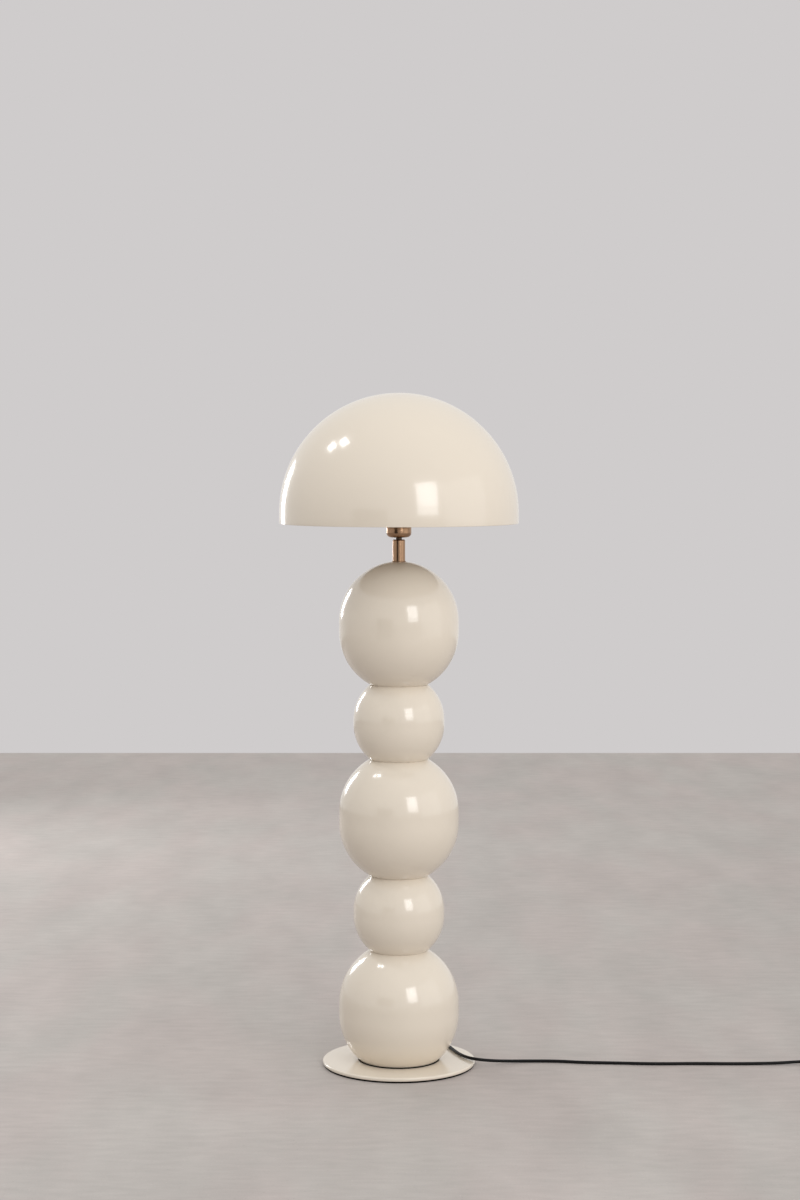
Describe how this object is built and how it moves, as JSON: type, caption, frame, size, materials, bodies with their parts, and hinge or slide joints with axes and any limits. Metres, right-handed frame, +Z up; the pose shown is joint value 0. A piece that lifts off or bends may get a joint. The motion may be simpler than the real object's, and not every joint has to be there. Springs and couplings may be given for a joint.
{
  "type": "floor lamp",
  "caption": "Mushroom floor lamp: hollow enamelled balls stacked on a thin round disc, with a short brass stem and cup and a plain dome shade.",
  "frame": {"origin": "centre of the lamp's underside, on the floor", "axes": "+Z up; -Y is the side that the picture shows; +X is to the right in it, where the lead runs"},
  "size_m": [1.0714, 0.4, 1.1201],
  "materials": {
    "cream_enamel": "gloss",
    "brushed_brass": "brushed",
    "zinc_steel": "satin",
    "contact_brass": "satin",
    "nickel": "polished",
    "pad_rubber": "matt",
    "black_pvc": "satin",
    "black_moulding": "satin",
    "ceramic": "glazed",
    "opal_glass": "opal",
    "cap_aluminium": "satin",
    "cap_glass": "gloss"
  },
  "bodies": {
    "lamp": {"floor_pad": "pad_rubber", "base_plate": "cream_enamel", "base_washer": "zinc_steel", "base_nut": "zinc_steel", "bottom_ball": "cream_enamel", "lower_small_ball": "cream_enamel", "middle_ball": "cream_enamel", "upper_small_ball": "cream_enamel", "top_ball": "cream_enamel", "centre_tube": "zinc_steel", "top_washer": "zinc_steel", "top_nut": "zinc_steel", "stem_washer": "brushed_brass", "stem": "brushed_brass", "lampholder_cup": "brushed_brass", "lampholder_skirt": "black_moulding", "lampholder_insulator": "ceramic", "terminal_screws": "zinc_steel", "screw_shell": "contact_brass", "centre_contact": "contact_brass", "cord_grommet": "black_moulding", "inner_lead": "black_pvc", "cord": "black_pvc", "cord_coil": "black_pvc", "cord_tie": "black_moulding", "cord_tail": "black_pvc", "switch_base": "black_moulding", "switch_cover": "black_moulding", "switch_screws": "zinc_steel", "switch_contact": "contact_brass", "plug_body": "black_moulding", "plug_pins": "nickel", "plug_pin_sleeves": "black_moulding"},
    "shade_body": {"shade": "cream_enamel", "shade_fitter": "cream_enamel"},
    "shade_ring_body": {"shade_ring": "black_moulding"},
    "bulb": {"bulb_globe": "opal_glass", "bulb_cap": "cap_aluminium", "bulb_cap_insulator": "cap_glass"},
    "rocker": {"switch_rocker": "black_moulding"}
  },
  "joints": [
    {"name": "shade_lift", "type": "slide", "parent": "lamp", "child": "shade_body", "axis": [0, 0, 1], "range_m": [0, 0.03]},
    {"name": "shade_ring_turn", "type": "hinge", "parent": "shade_body", "child": "shade_ring_body", "pos_m": [0, 0, 0.909], "axis": [0, 0, 1], "continuous": true},
    {"name": "bulb_unscrew", "type": "slide", "parent": "lamp", "child": "bulb", "axis": [0, 0, 1], "range_m": [0, 0.028]},
    {"name": "switch_rock", "type": "hinge", "parent": "lamp", "child": "rocker", "pos_m": [0.722, -0.008, 0.0135], "axis": [0, -1, 0], "range_deg": [0, 14]}
  ]
}
